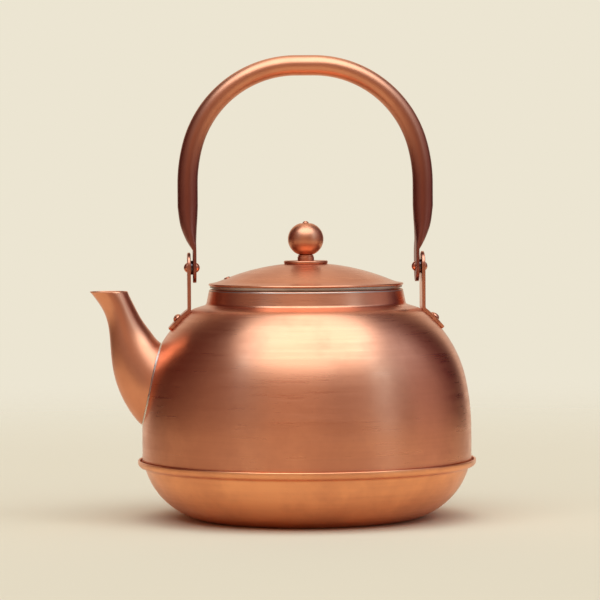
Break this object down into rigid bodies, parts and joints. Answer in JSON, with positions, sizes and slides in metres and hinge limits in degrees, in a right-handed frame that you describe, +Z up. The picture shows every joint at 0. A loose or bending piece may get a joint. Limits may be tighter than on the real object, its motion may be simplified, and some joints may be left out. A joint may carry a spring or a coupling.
{
  "type": "stovetop kettle",
  "caption": "Round spun copper kettle with a flared two-part body, open swan-neck spout, domed lift-off lid with ball knob, and a riveted tubular bail that swings.",
  "frame": {"origin": "centre of the flat base, on the surface the kettle stands on", "axes": "+Z up, spout towards -X, bail swings about a line along X, +Y to the back"},
  "size_m": [0.2161, 0.19, 0.2597],
  "materials": {
    "copper_shell": "brushed copper, fine level brush lines, clear lacquer",
    "copper_bowl": "brushed copper",
    "copper_lid": "brushed copper, circular brush lines",
    "copper_bail": "satin copper tube",
    "copper_knob": "polished copper",
    "copper_fittings": "satin copper, riveted",
    "tinned_copper": "wiped tin over copper",
    "solder": "soft solder, bright",
    "dark_washer": "darkened steel"
  },
  "bodies": {
    "root": {"base_bowl": "copper_bowl", "seam_solder": "solder", "body_shell": "copper_shell", "spout": "copper_shell", "spout_solder": "solder", "front_ear": "copper_fittings", "front_ear_rivets": "copper_fittings", "front_ear_roves": "copper_fittings", "front_pivot_rivet": "copper_fittings", "front_pivot_washer": "dark_washer", "rear_ear": "copper_fittings", "rear_ear_rivets": "copper_fittings", "rear_ear_roves": "copper_fittings", "rear_pivot_rivet": "copper_fittings", "rear_pivot_washer": "dark_washer"},
    "lid": {"lid_dome": "copper_lid", "lid_skirt": "tinned_copper", "knob_disc": "copper_knob", "knob_collar": "copper_knob", "knob_ball": "copper_knob", "knob_rivet": "copper_knob", "knob_rove": "copper_fittings"},
    "bail": {"bail_handle": "copper_bail"}
  },
  "joints": [
    {"name": "bail_swing", "type": "hinge", "parent": "root", "child": "bail", "pos_m": [0, 0, 0.141], "axis": [1, 0, 0], "range_deg": [-104, 104]},
    {"name": "lid_lift", "type": "slide", "parent": "root", "child": "lid", "axis": [0, 0, 1], "range_m": [0, 0.075]}
  ]
}
